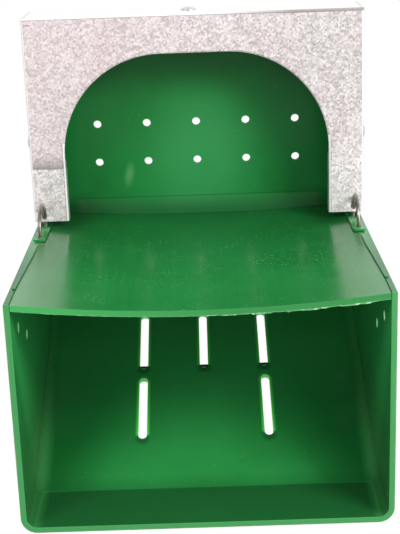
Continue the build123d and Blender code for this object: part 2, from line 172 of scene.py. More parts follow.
def bin_touches(tree, place, tone, gloss):
    """Trimmed, dirty front rim; painted shade on the floor, the slope's sides and below the slots;
    painted light on the walls, the slope's rear and the cut edges of the slots and side holes.
    """
    along_x = add(tree, SPLIT, out="X", Vector=place)
    along_y = add(tree, SPLIT, out="Y", Vector=place)
    height = add(tree, SPLIT, out="Z", Vector=place)
    off_middle = add(tree, MATH, SIZE_OF, i0=along_x)
    turned = add(tree, TURNED, Vector=place, Location=BEND_PLACE, Rotation=(SLOPE_TURN, 0.0, 0.0))
    up_slope = add(tree, SPLIT, out="Y", Vector=turned)
    over_slope = add(tree, SPLIT, out="Z", Vector=turned)
    above_floor = add(tree, MATH, MORE, i0=height, i1=FLOOR_TOP_Z + 0.0004)

    # Floor: painted shade darkens it, thinning out at the bend.
    floor_shade = add(
        tree, RAMP, Value=height, From_Min=FLOOR_TOP_Z + 0.0006, From_Max=FLOOR_TOP_Z - 0.0001,
        To_Max=0.8,
    )

    # Painted shadow: the slope's sides, shaded by the side walls, are darker in a band that widens
    # upwards.
    outward = add(tree, MATH, TIMES_PLUS, i0=up_slope, i1=0.42, i2=off_middle)
    beside = add(tree, RAMP, SMOOTH, Value=outward, From_Min=0.086, From_Max=0.145, To_Max=0.8)
    low_half = add(tree, RAMP, Value=up_slope, From_Min=0.17, From_Max=0.10)
    side_shadow = add(tree, MATH, TIMES, i0=add(tree, MATH, TIMES, i0=beside, i1=low_half), i1=above_floor)

    # Painted light: the side walls and the rear of the slope are painted paler, for the light that
    # reaches them inside the bin.
    near_wall = add(tree, RAMP, Value=off_middle, From_Min=0.1330, From_Max=0.1430)
    inside = add(tree, MATH, LESS, i0=off_middle, i1=IN_WALL_X)
    below_lips = add(tree, MATH, LESS, i0=height, i1=LIP_UNDERSIDE_Z)
    inside = add(tree, MATH, TIMES, i0=inside, i1=below_lips)
    high_half = add(tree, RAMP, Value=up_slope, From_Min=0.06, From_Max=0.17, To_Max=0.5)
    wall_light = add(tree, MATH, TIMES, i0=near_wall, i1=0.55)
    lit = add(tree, MATH, LARGER, i0=wall_light, i1=high_half)
    lit = add(tree, MATH, TIMES, i0=lit, i1=inside)

    # The walls' lower halves turn darker and olive towards the floor, and painted shade darkens the foot
    # of the slope along the bend.
    low_wall = add(tree, RAMP, Value=height, From_Min=-0.150, From_Max=-0.215, To_Max=0.75)
    low_wall = add(tree, MATH, TIMES, i0=add(tree, MATH, TIMES, i0=low_wall, i1=near_wall), i1=inside)
    slope_foot_shade = add(tree, RAMP, Value=up_slope, From_Min=0.016, From_Max=0.002, To_Max=0.45)
    slope_foot_shade = add(tree, MATH, TIMES, i0=slope_foot_shade, i1=above_floor)

    # Slots: how far a point is from the nearest slot, across it and along it from its row's middle.
    lower_row = add(tree, MATH, LESS, i0=up_slope, i1=SLOT_ROW_UP + SLOT_PITCH_UP / 2)
    from_outer = add(tree, MATH, SIZE_OF, i0=add(tree, MATH, MINUS, i0=off_middle, i1=SLOT_PITCH))
    from_inner = add(tree, MATH, PLUS, i0=off_middle, i1=lower_row)
    across = add(tree, MATH, SMALLER, i0=from_outer, i1=from_inner)
    row = add(tree, RAMP, Value=lower_row, To_Min=SLOT_ROW_UP + SLOT_PITCH_UP, To_Max=SLOT_ROW_UP)
    past_row = add(tree, MATH, MINUS, i0=up_slope, i1=row)
    from_row = add(tree, MATH, SIZE_OF, i0=past_row)
    past_run = add(tree, MATH, LARGER, i0=add(tree, MATH, MINUS, i0=from_row, i1=SLOT_HALF_RUN), i1=0.0)
    apart = add(tree, VMATH, LENGTH, out="Value", Vector=add(tree, JOINED, X=across, Y=past_run))

    # A painted glow stands for the daylight through the thin cut edge: a bright line some 2 mm wide that
    # fades out round the slot's foot and is weaker under its head.
    painted_glow = add(tree, RAMP, Value=apart, From_Min=SLOT_RADIUS + 0.0030, From_Max=SLOT_RADIUS + 0.0002)
    over_foot = add(tree, RAMP, Value=past_row, From_Min=-0.0335, From_Max=-0.0320)
    under_head = add(tree, RAMP, Value=past_row, From_Min=0.0315, From_Max=0.0350, To_Min=1, To_Max=0.3)
    in_slope = add(tree, MATH, NEAR, i0=over_slope, i1=CUT_OVER, i2=0.0026)
    for share in (over_foot, under_head, in_slope):
        painted_glow = add(tree, MATH, TIMES, i0=painted_glow, i1=share)

    # Painted shadow: a dark patch below each slot, and on the outside rib where it shows through an
    # upper slot.
    past_foot = add(tree, MATH, PLUS, i0=past_row, i1=0.0370)
    from_foot = add(tree, VMATH, LENGTH, out="Value", Vector=add(tree, JOINED, X=across, Y=past_foot))
    slot_shadow = add(tree, RAMP, SMOOTH, Value=from_foot, From_Min=0.0085, From_Max=0.0025, To_Max=0.5)
    slot_shadow = add(tree, MATH, TIMES, i0=slot_shadow, i1=above_floor)
    at_rib = add(tree, MATH, NEAR, i0=up_slope, i1=RIB_UP, i2=RIB_HALF_WIDTH)
    at_foot = add(tree, MATH, NEAR, i0=over_slope, i1=RIB_FOOT_OVER, i2=0.0005)
    by_slot = add(tree, MATH, LESS, i0=across, i1=0.0050)
    for share in (at_foot, by_slot, 0.7):
        at_rib = add(tree, MATH, TIMES, i0=at_rib, i1=share)
    slot_shadow = add(tree, MATH, LARGER, i0=slot_shadow, i1=at_rib)

    # Side holes: painted light shows the far half of each cut as a pale sliver.
    in_wall = add(tree, MATH, LESS, i0=off_middle, i1=BIN_HALF_WIDTH - 0.00015)
    sliver_light = 0.0
    for hole_y, hole_z in SIDE_HOLES:
        level = add(tree, JOINED, Y=along_y, Z=height)
        away = add(tree, VMATH, {"operation": "DISTANCE"}, out="Value", i0=level, i1=(0, hole_y, hole_z))
        cut = add(tree, RAMP, Value=away, From_Min=0.0050, From_Max=0.0041, To_Max=0.7)
        sliver_light = add(tree, MATH, LARGER, i0=sliver_light, i1=add(tree, MATH, TIMES, i0=cut, i1=in_wall))

    # The rim is trimmed. Its outer edge is rubbed, and brown dirt sits in it here and there.
    edge = add(tree, MATH, LESS, i0=along_y, i1=RIM_BACK_Y)
    side_edge = add(
        tree, RAMP, Value=off_middle, From_Min=BIN_HALF_WIDTH - 0.0016, From_Max=BIN_HALF_WIDTH - 0.0004
    )
    base_edge = add(
        tree, RAMP, Value=height, From_Min=BIN_BASE_Z + 0.0016, From_Max=BIN_BASE_Z + 0.0004
    )
    outer_edge = add(tree, MATH, LARGER, i0=side_edge, i1=base_edge)
    dirt = add(tree, NOISE, Vector=place, Scale=RIM_DIRT, Detail=5.0, Roughness=0.7)
    dirty = add(tree, RAMP, Value=dirt, From_Min=0.48, From_Max=0.62, To_Min=0.05, To_Max=0.6)
    dirty = add(tree, MATH, TIMES, i0=add(tree, MATH, TIMES, i0=dirty, i1=outer_edge), i1=edge)

    # Each layer lies over the ones before it.
    layers = (
        (floor_shade, "1B5128"), (side_shadow, "125C26"), (lit, "44BA66"), (low_wall, "376A38"),
        (slope_foot_shade, "1B562A"), (painted_glow, PAINTED_GLOW_GREEN), (slot_shadow, "0B3414"), (sliver_light, "A6DDA0"),
        (edge, RIM_GREEN), (dirty, "8C8570"),
    )
    for share, code in layers:
        tone = add(tree, MIX, RGBA, out=2, i0=share, i6=tone, i7=colour(code))
    return tone, add(tree, MIX, FLOAT, i0=edge, i2=gloss, i3=0.4)


# Moulded polypropylene: the polished mould leaves it glossy and a little wavy.
wear(
    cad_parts["hay_bin"],
    polypropylene(
        "moulded_green_polypropylene", deep="227A37", pale="2E934A", speck_share=0.04, wave=0.25,
        touch=bin_touches,
    ),
)


# --- Bin lid ------------------------------------------------------------------------------------
# A loose sheet of the same plastic, rolled and sawn to size. It lies in the bin's side guides, where
# nothing fastens it, and bows down in the middle.
LID_FRONT_Y = -0.28498  # just behind the sawn front edge
LID_HALF_WIDTH = 0.1448
LID_SAG = 0.0086
LID_UNDERSIDE_Z = -0.0767
ROLL_STREAKS, STREAK_STRETCH = 260.0, 0.03  # 4 mm apart, and 33 times as long from front to back


def lid_touches(tree, place, tone, gloss):
    """Sawn front edge, the streaks of the rolled sheet, a painted reflection along the sides, and
    painted shade below the legs and at the rear.
    """
    along_x = add(tree, SPLIT, out="X", Vector=place)
    along_y = add(tree, SPLIT, out="Y", Vector=place)
    drawn_out = add(tree, TURNED, Vector=place, Scale=(1.0, STREAK_STRETCH, 1.0))
    streaks = add(tree, NOISE, Vector=drawn_out, Scale=ROLL_STREAKS, Detail=3.0)
    lightness = add(tree, RAMP, Value=streaks, From_Min=0.45, From_Max=0.75, To_Max=0.015)
    ridges = add(tree, RAMP, Value=streaks, From_Min=0.3, From_Max=0.7, To_Min=0.03, To_Max=0.06)
    gloss = add(tree, MATH, PLUS, i0=gloss, i1=ridges)
    # Painted reflection: a pale haze along both sides, more on the left.
    reflection_left = add(tree, RAMP, Value=along_x, From_Min=-0.098, From_Max=-0.142, To_Max=0.09)
    reflection_right = add(tree, RAMP, Value=along_x, From_Min=0.098, From_Max=0.142, To_Max=0.03)
    side_reflection = add(tree, MATH, LARGER, i0=reflection_left, i1=reflection_right)
    # Painted shadow darkens the lid below the ends of the legs.
    off_middle = add(tree, MATH, SIZE_OF, i0=along_x)
    beside = add(tree, RAMP, SMOOTH, Value=off_middle, From_Min=0.092, From_Max=0.118, To_Max=0.6)
    behind = add(tree, RAMP, Value=along_y, From_Min=-0.085, From_Max=-0.070)
    gathered = add(tree, MATH, TIMES, i0=beside, i1=behind)
    # Painted shade: the rear, under the hood, is darker in colour.
    rear_shade = add(tree, RAMP, Value=along_y, From_Min=-0.22, From_Max=-0.08, To_Max=0.5)
    layers = ((lightness, DUST_GREEN), (side_reflection, "E4F6DE"), (gathered, "06290F"), (rear_shade, "0F5724"))
    for share, code in layers:
        tone = add(tree, MIX, RGBA, out=2, i0=share, i6=tone, i7=colour(code))
    # The saw left the front edge dull, and paler on the left.
    edge = add(tree, MATH, LESS, i0=along_y, i1=LID_FRONT_Y)
    rightward = add(tree, RAMP, Value=along_x, From_Min=-0.145, From_Max=0.030)
    sawn = add(tree, MIX, RGBA, out=2, i0=rightward, i6=colour("36A050"), i7=colour("2B823F"))
    tone = add(tree, MIX, RGBA, out=2, i0=edge, i6=tone, i7=sawn)
    return tone, add(tree, MIX, FLOAT, i0=edge, i2=gloss, i3=0.45)


# Rolled polypropylene sheet: flatter and a little duller than the mouldings, and its dust shows more.
wear(
    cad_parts["bin_lid"],
    polypropylene(
        "rolled_green_polypropylene_sheet", deep="166A2F", pale="227F3D", speck_share=0.5, wave=0.08,
        touch=lid_touches,
    ),
)

# The saw left a ragged burr under the front edge, small on the left and coarse on the right. It
# follows the bow of the lid's underside.
BURR_SEGMENTS = 300
BURR_THICK = 0.00025
BURR_SET_BACK = 0.00002  # behind the foremost face
BURR_ROOT = 0.0001  # how far the burr's root reaches into the lid
TOOTH_LEAST, TOOTH_SPREAD, TOOTH_COARSE = 0.00015, 0.00015, 0.0012
NEW_TOOTH_SHARE, TOOTH_LEAN = 0.30, 0.2
# Where along the edge, as shares of it, the coarse part starts and ends, and how steeply.
COARSE_FROM, COARSE_RISE, COARSE_TO, COARSE_FALL = 0.48, 12, 0.97, 20
TEARS = 300.0  # in a metre: whitened spots of 3 mm
bow_radius = (LID_HALF_WIDTH**2 + LID_SAG**2) / (2 * LID_SAG)
saw = random.Random(11)

tooth_depth = 0.0003
depths = []
for step in range(BURR_SEGMENTS + 1):
    share = step / BURR_SEGMENTS
    coarse = max(0.0, min(1.0, (share - COARSE_FROM) * COARSE_RISE))
    coarse *= max(0.0, min(1.0, (COARSE_TO - share) * COARSE_FALL))
    if saw.random() < NEW_TOOTH_SHARE:
        tooth_depth = TOOTH_LEAST + saw.random() * (TOOTH_SPREAD + TOOTH_COARSE * coarse)
    depths.append(tooth_depth)

burr_mesh = bpy.data.meshes.new("lid_saw_burr")
bm = bmesh.new()
bmesh.ops.create_grid(bm, x_segments=BURR_SEGMENTS, y_segments=1, size=0.5)
for vert in bm.verts:
    share = vert.co.x + 0.5
    x = (share * 2 - 1) * LID_HALF_WIDTH
    root_z = LID_UNDERSIDE_Z + bow_radius - math.sqrt(bow_radius**2 - x**2) + BURR_ROOT
    depth = depths[round(share * BURR_SEGMENTS)] if vert.co.y < 0 else 0.0
    vert.co = (x, cad_low[1] + BURR_SET_BACK + depth * TOOTH_LEAN, root_z - depth)
bmesh.ops.solidify(bm, geom=bm.faces[:], thickness=BURR_THICK)
bmesh.ops.recalc_face_normals(bm, faces=bm.faces)
bm.to_mesh(burr_mesh)
bm.free()
burr = bpy.data.objects.new("lid_saw_burr", burr_mesh)
bpy.context.scene.collection.objects.link(burr)


def burr_touches(tree, place, tone, gloss):
    """Torn plastic turns whitish in places, and dull."""
    torn = add(tree, NOISE, Vector=place, Scale=TEARS, Detail=3.0)
    whitened = add(tree, RAMP, Value=torn, From_Min=0.5, From_Max=0.65, To_Min=0.1, To_Max=0.8)
    tone = add(tree, MIX, RGBA, out=2, i0=whitened, i6=tone, i7=colour("B4DCB4"))
    return tone, add(tree, MIX, FLOAT, i0=0.8, i2=gloss, i3=0.6)


# Torn polypropylene: stretched threads that scatter the light.
wear(
    burr,
    polypropylene(
        "torn_green_polypropylene", deep=RIM_GREEN, pale="4F9A5B", speck_share=0.3, wave=0.1,
        touch=burr_touches,
    ),
)
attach(burr, "lid")


# --- Hood ---------------------------------------------------------------------------------------
# A shallow green moulding that closes the steel frame from behind. Ten round holes are drilled
# through its back wall for the wall fixings, and its creased foot stands against the bin.
HOLE_PITCH, HOLE_HALF_RISE, GRID_HALF_WIDTH = 0.047, 0.0185, 0.105
HOLE_EDGE = 0.00378  # just past a hole's radius
CREASE_Z = -0.0536
SCUFF_PLACE, SCUFF_HALF = (-0.0659, -0.0040, -0.0310), (0.0065, 0.02, 0.0170)
SCUFF_LEAN = math.radians(10)
LIT_MIDDLE_PLACE, LIT_MIDDLE_HALF = (0.004, -0.0040, -0.020), (0.055, 0.05, 0.075)
PLACED = {"vector_type": "TEXTURE"}  # the axes of a mark, which ends 1 away from its middle


def hood_touches(tree, place, tone, gloss):
    """Painted glow on the upper drilled edges, one soft scuff left of the middle, and painted light and
    shade over the back wall and its foot.
    """
    along_x = add(tree, SPLIT, out="X", Vector=place)
    height = add(tree, SPLIT, out="Z", Vector=place)
    off_middle = add(tree, MATH, SIZE_OF, i0=along_x)
    # Holes: how far a point is from the nearest one. A painted glow lights only the upper part of a cut
    # edge.
    from_column = add(tree, MATH, {"operation": "PINGPONG"}, i0=along_x, i1=HOLE_PITCH / 2)
    from_row = add(tree, MATH, MINUS, i0=add(tree, MATH, SIZE_OF, i0=height), i1=HOLE_HALF_RISE)
    upper_or_lower = add(tree, MATH, {"operation": "SIGN"}, i0=height)
    row = add(tree, MATH, TIMES, i0=upper_or_lower, i1=HOLE_HALF_RISE)
    above_row = add(tree, MATH, MINUS, i0=height, i1=row)
    upper_part = add(tree, RAMP, Value=above_row, From_Min=0.0004, From_Max=0.0028)
    away = add(tree, VMATH, LENGTH, out="Value", Vector=add(tree, JOINED, X=from_column, Y=from_row))
    drilled = add(tree, RAMP, Value=away, From_Min=0.0044, From_Max=0.0039, To_Max=0.6)
    in_grid = add(tree, MATH, LESS, i0=off_middle, i1=GRID_HALF_WIDTH)
    bright = add(tree, MATH, TIMES, i0=add(tree, MATH, TIMES, i0=drilled, i1=in_grid), i1=upper_part)
    bore = add(tree, MATH, TIMES, i0=add(tree, MATH, LESS, i0=away, i1=HOLE_EDGE), i1=in_grid)
    gloss = add(tree, MIX, FLOAT, i0=bore, i2=gloss, i3=0.7)
    # The scuff is a soft upright oval, some 30 mm tall.
    scuff_axes = add(
        tree, TURNED, PLACED, Vector=place, Location=SCUFF_PLACE, Rotation=(0.0, SCUFF_LEAN, 0.0),
        Scale=SCUFF_HALF,
    )
    from_scuff = add(tree, VMATH, LENGTH, out="Value", Vector=scuff_axes)
    rubbed = add(tree, RAMP, SMOOTH, Value=from_scuff, From_Min=1.0, From_Max=0.0, To_Max=0.22)
    # Painted light makes the middle paler; painted shade makes the top, the right end and the foot
    # deeper.
    middle_axes = add(tree, TURNED, PLACED, Vector=place, Location=LIT_MIDDLE_PLACE, Scale=LIT_MIDDLE_HALF)
    from_middle = add(tree, VMATH, LENGTH, out="Value", Vector=middle_axes)
    painted_light_pool = add(tree, RAMP, SMOOTH, Value=from_middle, From_Min=1.3, From_Max=0.2, To_Max=0.42)
    upper = add(tree, RAMP, Value=height, From_Min=0.045, From_Max=0.095, To_Max=0.4)
    rightward = add(tree, RAMP, Value=along_x, From_Min=0.03, From_Max=0.10, To_Max=0.35)
    foot = add(tree, RAMP, Value=height, From_Min=-0.0530, From_Max=-0.0545, To_Max=0.27)
    lower_foot = add(tree, RAMP, Value=height, From_Min=-0.0555, From_Max=-0.0660, To_Max=0.45)
    foot = add(tree, MATH, PLUS, i0=foot, i1=lower_foot)
    painted_shade = add(tree, MATH, LARGER, i0=add(tree, MATH, LARGER, i0=upper, i1=rightward), i1=foot)
    # Painted shade: a fine dark line follows the foot's crease, and the foot is darker beside the legs.
    crease = add(tree, MATH, NEAR, i0=height, i1=CREASE_Z, i2=0.0005)
    crease = add(tree, MATH, TIMES, i0=crease, i1=0.35)
    beside = add(tree, RAMP, SMOOTH, Value=off_middle, From_Min=0.088, From_Max=0.118)
    low = add(tree, RAMP, Value=height, From_Min=-0.046, From_Max=-0.062)
    for share in (low, 0.6):
        beside = add(tree, MATH, TIMES, i0=beside, i1=share)
    dark = add(tree, MATH, LARGER, i0=crease, i1=beside)
    layers = (
        (bright, PAINTED_GLOW_GREEN), (rubbed, DUST_GREEN), (painted_light_pool, "3F9A5C"), (painted_shade, "0E4B20"),
        (dark, "08300F"),
    )
    for share, code in layers:
        tone = add(tree, MIX, RGBA, out=2, i0=share, i6=tone, i7=colour(code))
    return tone, gloss


# Moulded polypropylene again, handled less than the bin, so it keeps fewer specks.
wear(
    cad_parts["back_hood"],
    polypropylene(
        "drilled_green_polypropylene", deep="176A2E", pale="21803C", speck_share=0.02, wave=0.2,
        touch=hood_touches,
    ),
)


# --- Steel frame --------------------------------------------------------------------------------
# Galvanised sheet, 1 mm thick, cut with its arch and folded at the top, the sides and the legs. It
# is pushed over the hood and riveted to it through the three outer folds.
FRAME_HALF_WIDTH, FRAME_TOP_Z, FRAME_FACE_Y = 0.1515, 0.1265, -0.0658
FOLD_DEPTH = 0.0016
ARCH_HALF_WIDTH, ARCH_SPRING_Z = 0.1200, 0.0020
# The legs' look sets in over this height, from none to all of it.
LEGS_NONE_Z, LEGS_ALL_Z = 0.004, -0.010
# The tide mark's height and where it stops on the right, and the middle of the rusty nick.
TIDE_Z, TIDE_RIGHT_X = 0.0015, -0.112
NICK_X, NICK_Z = -0.1460, 0.1205
# How many of each fit in a metre: grains of 2 mm with outlines broken every 1.3 mm, a speckle of
# 1 mm, soft clouds of 10 mm, pits and flakes 2 mm apart, smears of 10 mm and broad tints of 45 mm.
SPANGLE, OUTLINES, SPECKLE, SOFT_CLOUDS = 560.0, 800.0, 1000.0, 105.0
PITS, ZINC_SMEARS, BROAD_TINTS = 520.0, 95.0, 22.0
OUTLINE_SHIFT = 0.0022  # how far the grains' outlines stray


def galvanised(name):
    """Hot-dip zinc on steel sheet, in grains that differ in brightness and in slope."""
    finish, tree, surface = new_finish(name)
    place = add(tree, COORDS, out="Object")
    along_x = add(tree, SPLIT, out="X", Vector=place)
    along_y = add(tree, SPLIT, out="Y", Vector=place)
    height = add(tree, SPLIT, out="Z", Vector=place)
    off_middle = add(tree, MATH, SIZE_OF, i0=along_x)

    # Grains with broken outlines, a finer speckle, and soft clouds.
    bend = add(tree, NOISE, out="Color", Vector=place, Scale=OUTLINES, Detail=3.0)
    shifted = add(tree, VMATH, TIMES_PLUS, i0=bend, i1=(OUTLINE_SHIFT,) * 3, i2=place)
    lot = add(tree, CELLS, out="Color", Vector=shifted, Scale=SPANGLE)
    lightness = add(tree, CHANNEL, out="Red", Color=lot)
    slant = add(tree, CHANNEL, out="Green", Color=lot)
    speckle = add(tree, NOISE, Vector=place, Scale=SPECKLE, Detail=3.0, Roughness=0.7)
    soft = add(tree, NOISE, Vector=place, Scale=SOFT_CLOUDS, Detail=4.0, Roughness=0.6)
    mixed = add(tree, MIX, FLOAT, i0=0.6, i2=lightness, i3=speckle)

    # Above the legs the spangle is fainter on the left, and here and there it fades out.
    fading = add(tree, RAMP, Value=soft, From_Min=0.50, From_Max=0.70, To_Max=0.6)
    leftward = add(tree, RAMP, Value=along_x, From_Min=-0.14, From_Max=0.14, To_Min=0.30, To_Max=0.05)
    above_legs = add(tree, RAMP, Value=height, From_Min=LEGS_ALL_Z, From_Max=LEGS_NONE_Z)
    leftward = add(tree, MATH, TIMES, i0=leftward, i1=above_legs)
    faint = add(tree, MATH, LARGER, i0=fading, i1=leftward)
    faded = add(tree, MIX, FLOAT, i0=faint, i2=mixed, i3=0.55)

    # The clouds and the cleaner legs make it lighter still.
    bright = add(tree, RAMP, Value=faded, From_Min=0.25, From_Max=0.72)
    cloudy = add(tree, RAMP, Value=soft, From_Min=0.3, From_Max=0.7, To_Min=-0.05, To_Max=0.05)
    on_legs = add(tree, RAMP, Value=height, From_Min=LEGS_NONE_Z, From_Max=LEGS_ALL_Z, To_Max=0.1)
    for more in (cloudy, on_legs):
        bright = add(tree, MATH, PLUS, i0=bright, i1=more)
    zinc = add(tree, MIX, RGBA, out=2, i0=bright, i6=colour("ABA4A6"), i7=colour("FDF9FA"))

    # A few pits show dark, and a few flakes catch the light.
    dots = {"Vector": place, "Scale": PITS}
    near = add(tree, CELLS, out="Distance", **dots)
    drawn = add(tree, CHANNEL, Color=add(tree, CELLS, out="Color", **dots))
    in_pit = add(tree, RAMP, Value=near, From_Min=0.34, From_Max=0.20, To_Max=0.5)
    on_flake = add(tree, RAMP, Value=near, From_Min=0.38, From_Max=0.22, To_Max=0.8)
    pits = add(tree, MATH, TIMES, i0=in_pit, i1=add(tree, MATH, LESS, i0=drawn, i1=0.12))
    flakes = add(tree, MATH, TIMES, i0=on_flake, i1=add(tree, MATH, MORE, i0=drawn, i1=0.85))
    for share, code in ((pits, "8D8688"), (flakes, "FFFFFF")):
        zinc = add(tree, MIX, RGBA, out=2, i0=share, i6=zinc, i7=colour(code))

    # Warmer in the upper left, cooler on the right and down the legs, and greyer in the upper right
    # and in a few broad patches.
    cool = add(tree, RAMP, Value=along_x, From_Min=-0.10, From_Max=0.13, To_Min=0.1, To_Max=0.8)
    cool_legs = add(tree, RAMP, Value=height, From_Min=LEGS_NONE_Z, From_Max=LEGS_ALL_Z)
    cool = add(tree, MATH, LARGER, i0=cool, i1=cool_legs)
    cast = add(tree, MIX, RGBA, out=2, i0=cool, i6=colour("FDF1F2"), i7=colour("F8F7F5"))
    rightward = add(tree, RAMP, Value=along_x, From_Min=0.0, From_Max=0.11)
    upward = add(tree, RAMP, Value=height, From_Min=0.0, From_Max=0.090)
    shaded = add(tree, MATH, TIMES, i0=rightward, i1=upward)
    broad = add(tree, NOISE, Vector=place, Scale=BROAD_TINTS, Detail=2.0)
    patchy = add(tree, RAMP, Value=broad, From_Min=0.48, From_Max=0.66, To_Max=0.35)
    tints = {"data_type": "RGBA", "blend_type": "MULTIPLY"}
    for share, tint in ((1.0, cast), (shaded, colour("F0F0F0")), (patchy, colour("F5E4E5"))):
        zinc = add(tree, MIX, tints, out=2, i0=share, i6=zinc, i7=tint)

    # Tide mark across the left leg: soft above, sharp and ragged below.
    over_mark = add(tree, MATH, MINUS, i0=height, i1=TIDE_Z)
    ragged = add(tree, MATH, TIMES_PLUS, i0=speckle, i1=0.0030, i2=over_mark)
    tide = add(tree, RAMP, Value=ragged, From_Min=0.0035, From_Max=-0.0085, To_Max=0.78)
    above_mark = add(tree, MATH, MORE, i0=ragged, i1=-0.0095)
    on_left_leg = add(tree, MATH, LESS, i0=along_x, i1=TIDE_RIGHT_X)
    for share in (above_mark, on_left_leg):
        tide = add(tree, MATH, TIMES, i0=tide, i1=share)

    # Smooth grey smears near the leg ends.
    smears = add(
        tree, NOISE, Vector=place, Scale=ZINC_SMEARS, Detail=3.0, Roughness=0.55, Distortion=1.2
    )
    smeared = add(tree, RAMP, Value=smears, From_Min=0.50, From_Max=0.64, To_Max=0.6)
    leg_ends = add(tree, RAMP, Value=height, From_Min=-0.026, From_Max=-0.040)
    smeared = add(tree, MATH, TIMES, i0=smeared, i1=leg_ends)

    # Folds: burnished smoother on the front's edge and all over the top, and painted whiter there as a
    # highlight.
    on_leg = add(tree, MATH, LESS, i0=height, i1=ARCH_SPRING_Z + 0.012)
    outer_fold = add(tree, MATH, MORE, i0=off_middle, i1=FRAME_HALF_WIDTH - FOLD_DEPTH)
    inner_fold = add(tree, MATH, LESS, i0=off_middle, i1=ARCH_HALF_WIDTH + FOLD_DEPTH)
    inner_fold = add(tree, MATH, TIMES, i0=inner_fold, i1=on_leg)
    top_fold = add(tree, MATH, MORE, i0=height, i1=FRAME_TOP_Z - FOLD_DEPTH)
    side_folds = add(tree, MATH, LARGER, i0=outer_fold, i1=inner_fold)
    folds = add(tree, MATH, LARGER, i0=side_folds, i1=top_fold)
    at_face = add(
        tree, RAMP, Value=along_y, From_Min=FRAME_FACE_Y + 0.0034, From_Max=FRAME_FACE_Y + 0.0024
    )
    on_top = add(tree, MATH, MORE, i0=height, i1=FRAME_TOP_Z - 0.0003)
    burnish_and_highlight = add(tree, MATH, LARGER, i0=add(tree, MATH, TIMES, i0=folds, i1=at_face), i1=on_top)
    burnish_and_highlight = add(tree, MATH, TIMES, i0=burnish_and_highlight, i1=0.85)

    # Fine grey lines run beside the folds: broken on the legs, even at the sides and the top.
    leg_line = add(
        tree, MATH, NEAR, i0=off_middle, i1=ARCH_HALF_WIDTH + FOLD_DEPTH + 0.0004, i2=0.0004
    )
    broken = add(tree, RAMP, Value=speckle, From_Min=0.42, From_Max=0.58, To_Min=0.1, To_Max=0.75)
    for share in (on_leg, broken):
        leg_line = add(tree, MATH, TIMES, i0=leg_line, i1=share)
    side_line = add(tree, MATH, MORE, i0=off_middle, i1=FRAME_HALF_WIDTH - 0.0005)
    side_line = add(tree, MATH, TIMES, i0=side_line, i1=at_face)
    top_line = add(tree, MATH, NEAR, i0=height, i1=FRAME_TOP_Z - FOLD_DEPTH, i2=0.0004)
    outer_line = add(tree, MATH, LARGER, i0=side_line, i1=top_line)
    outer_line = add(tree, MATH, TIMES, i0=outer_line, i1=0.6)

    # The top fold is grey-brown over the right half; a rusty nick marks the top left corner.
    top_edge = add(
        tree, RAMP, Value=height, From_Min=FRAME_TOP_Z - 0.0030, From_Max=FRAME_TOP_Z - 0.0022
    )
    over_right = add(tree, RAMP, Value=along_x, From_Min=0.020, From_Max=0.090, To_Max=0.75)
    for share in (over_right, at_face):
        top_edge = add(tree, MATH, TIMES, i0=top_edge, i1=share)
    nick = add(tree, MATH, NEAR, i0=along_x, i1=NICK_X, i2=0.0034)
    nick_height = add(tree, MATH, NEAR, i0=height, i1=NICK_Z, i2=0.0006)
    for share in (nick_height, 0.6):
        nick = add(tree, MATH, TIMES, i0=nick, i1=share)
    layers = (
        (tide, "8B7C80"), (smeared, "CFCEC6"), (burnish_and_highlight, "FDFCFB"), (leg_line, "6E6A6B"),
        (outer_line, "8F8B89"), (top_edge, "8A7E7B"), (nick, "8C7674"),
    )
    for share, code in layers:
        zinc = add(tree, MIX, RGBA, out=2, i0=share, i6=zinc, i7=colour(code))

    rough = add(tree, RAMP, Value=slant, To_Min=0.42, To_Max=0.62)
    rough = add(tree, MIX, FLOAT, i0=burnish_and_highlight, i2=rough, i3=0.3)
    relief = add(tree, BUMP, Strength=0.25, Distance=0.0002, Height=mixed)
    # A dull bloom of oxide lies on the face, so it is part metal and part matt. The leg flanges
    # behind it are cleaner and mirror the green hood.
    clean = add(tree, MATH, LESS, i0=off_middle, i1=ARCH_HALF_WIDTH + 0.0012)
    behind_face = add(tree, RAMP, Value=along_y, From_Min=-0.0642, From_Max=-0.0636)
    for share in (behind_face, on_leg):
        clean = add(tree, MATH, TIMES, i0=clean, i1=share)
    metal = add(tree, RAMP, Value=clean, To_Min=0.35, To_Max=0.9)
    tree.links.new(zinc, surface.inputs["Base Color"])
    tree.links.new(metal, surface.inputs["Metallic"])
    tree.links.new(rough, surface.inputs["Roughness"])
    tree.links.new(relief, surface.inputs["Normal"])
    return finish


# Hot-dip galvanised steel: the zinc froze in a spangle of bright and dull grains.
wear(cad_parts["front_frame"], galvanised("spangled_galvanised_sheet"))


# --- Rivets -------------------------------------------------------------------------------------
# Three blind rivets in aluminium, with wide domed flanges, set through the frame's top and side
# folds and the hood. The steel pin that pulled each one tight has snapped off inside it.
def plain_metal(name, dark, light, low, high, scale):
    """A bare metal with cloudy tone, roughness from low to high, and scale clouds in a metre."""
    finish, tree, surface = new_finish(name)
    place = add(tree, COORDS, out="Object")
    clouds = add(tree, NOISE, Vector=place, Scale=scale, Detail=5.0, Roughness=0.65)
    tone = add(tree, MIX, RGBA, out=2, i0=clouds, i6=colour(dark), i7=colour(light))
    rough = add(tree, RAMP, Value=clouds, From_Min=0.3, From_Max=0.7, To_Min=low, To_Max=high)
    relief = add(tree, BUMP, Strength=0.2, Distance=0.0001, Height=clouds)
    tree.links.new(tone, surface.inputs["Base Color"])
    tree.links.new(rough, surface.inputs["Roughness"])
    tree.links.new(relief, surface.inputs["Normal"])
    surface.inputs["Metallic"].default_value = 1.0
    return finish


